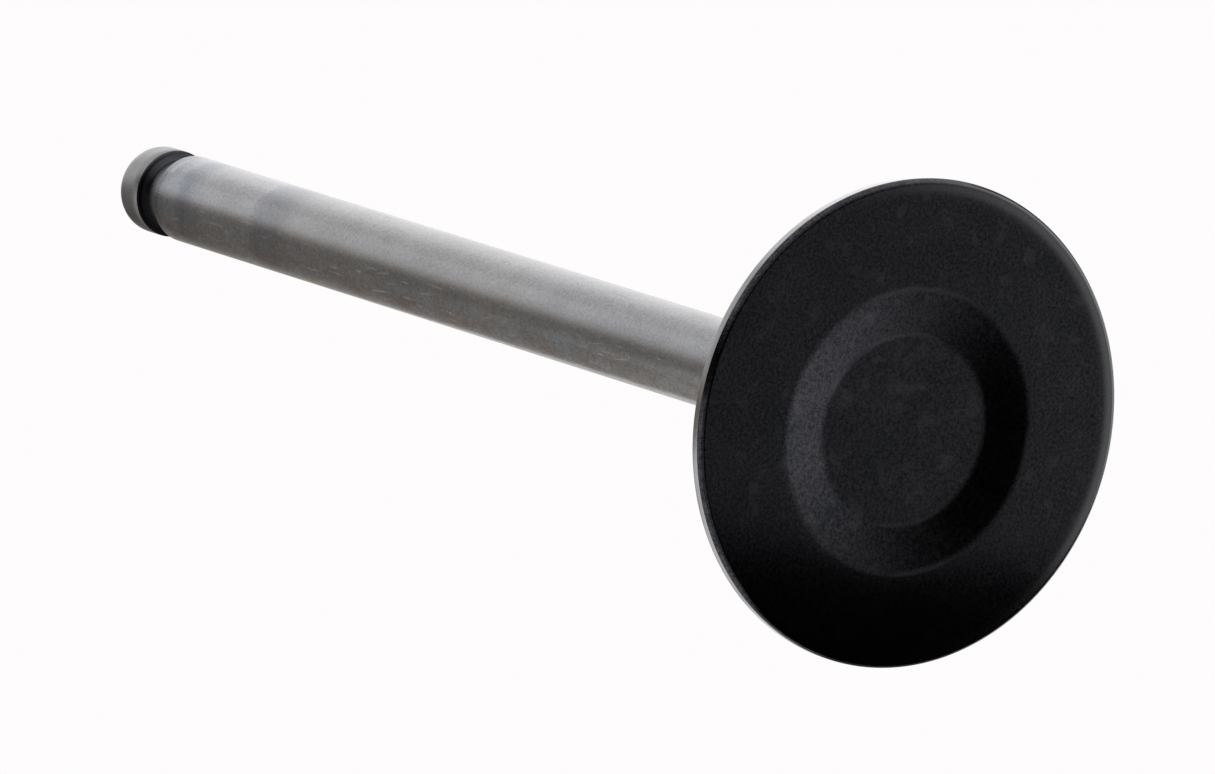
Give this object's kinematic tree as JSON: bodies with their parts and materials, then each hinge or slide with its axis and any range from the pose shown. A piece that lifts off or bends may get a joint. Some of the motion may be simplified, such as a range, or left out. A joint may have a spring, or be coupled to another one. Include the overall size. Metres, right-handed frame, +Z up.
{
  "type": "engine valve",
  "caption": "Poppet valve with a shallow dished head, 45 degree seat, tulip neck, ground stem and a keeper groove below a rounded tip.",
  "frame": {"origin": "centre of the combustion face, the face that the valve stands on", "axes": "+Z up the stem from the head to the tip; the valve is a turned piece, so X and Y matter only for the forged dish in its face, which lies 0.65 mm towards -X"},
  "size_m": [0.0425, 0.0424, 0.128],
  "materials": {
    "valve_steel": "blackened head, satin ground stem with faint bluish heat bands"
  },
  "bodies": {
    "root": {"valve": "valve_steel"}
  },
  "joints": []
}
